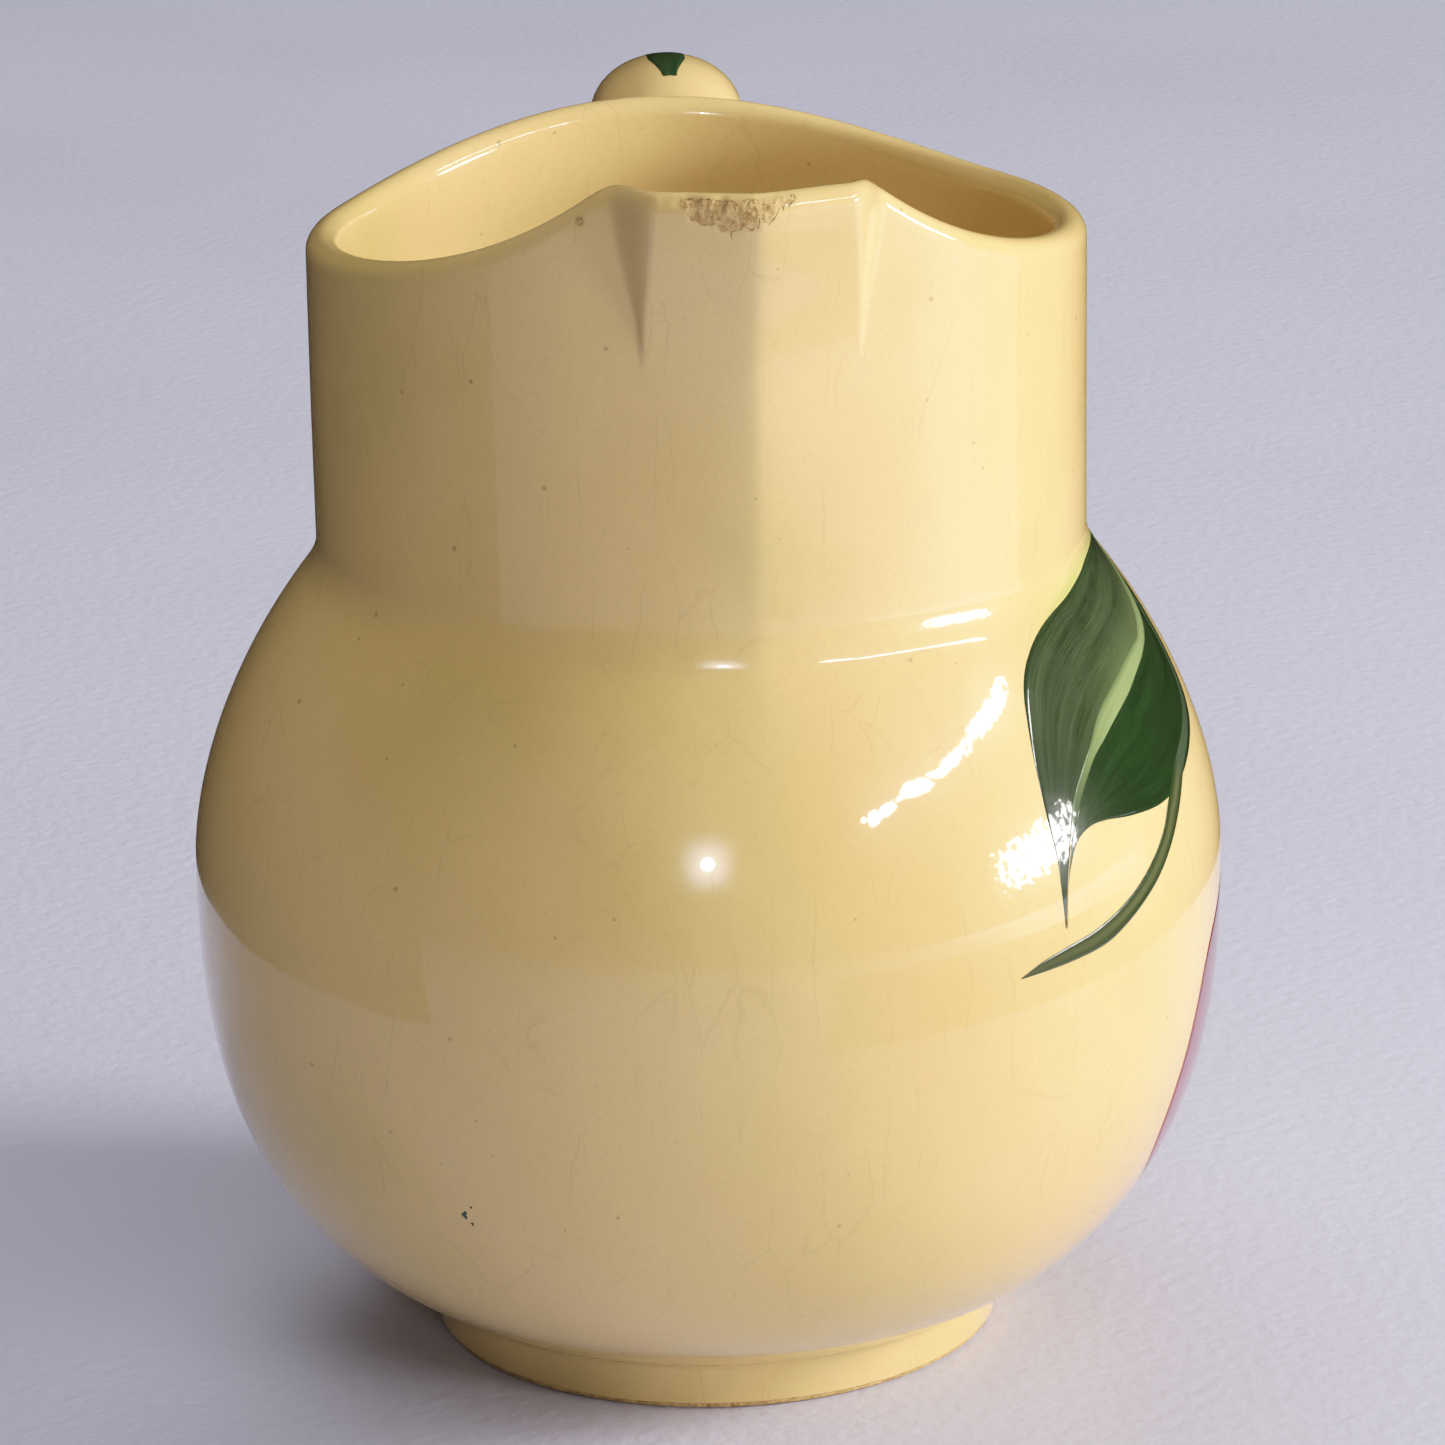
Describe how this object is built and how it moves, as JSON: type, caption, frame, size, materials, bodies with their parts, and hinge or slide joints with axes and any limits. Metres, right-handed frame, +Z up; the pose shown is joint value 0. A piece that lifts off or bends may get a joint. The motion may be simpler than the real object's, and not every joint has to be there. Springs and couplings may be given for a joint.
{
  "type": "ceramic pitcher",
  "caption": "Glazed stoneware pitcher: round bowl on a foot ring, straight neck with a pinched pouring spout, strap handle and brushed leaf and fruit decoration.",
  "frame": {"origin": "on the table, under the middle of the whole part's bounding box", "axes": "+Z up, the spout points to -Y and the handle to +Y; the body's own axis stands 13.7 mm to the -Y side of the origin"},
  "size_m": [0.1352, 0.162, 0.165],
  "materials": {
    "cream_glaze": "glossy cream glaze with fine crazing",
    "leaf_green_slip": "brushed green slip under the glaze",
    "dark_green_slip": "brushed dark green slip under the glaze",
    "pale_green_slip": "pale green slip under the glaze",
    "apple_red_slip": "brushed red slip under the glaze"
  },
  "bodies": {
    "root": {"bowl": "cream_glaze", "foot_ring": "cream_glaze", "neck_collar": "cream_glaze", "spout": "cream_glaze", "handle": "cream_glaze", "leaf_light_half": "leaf_green_slip", "leaf_dark_half": "dark_green_slip", "leaf_vein": "pale_green_slip", "stem_stroke": "leaf_green_slip", "apple": "apple_red_slip", "handle_stroke": "dark_green_slip"}
  },
  "joints": []
}
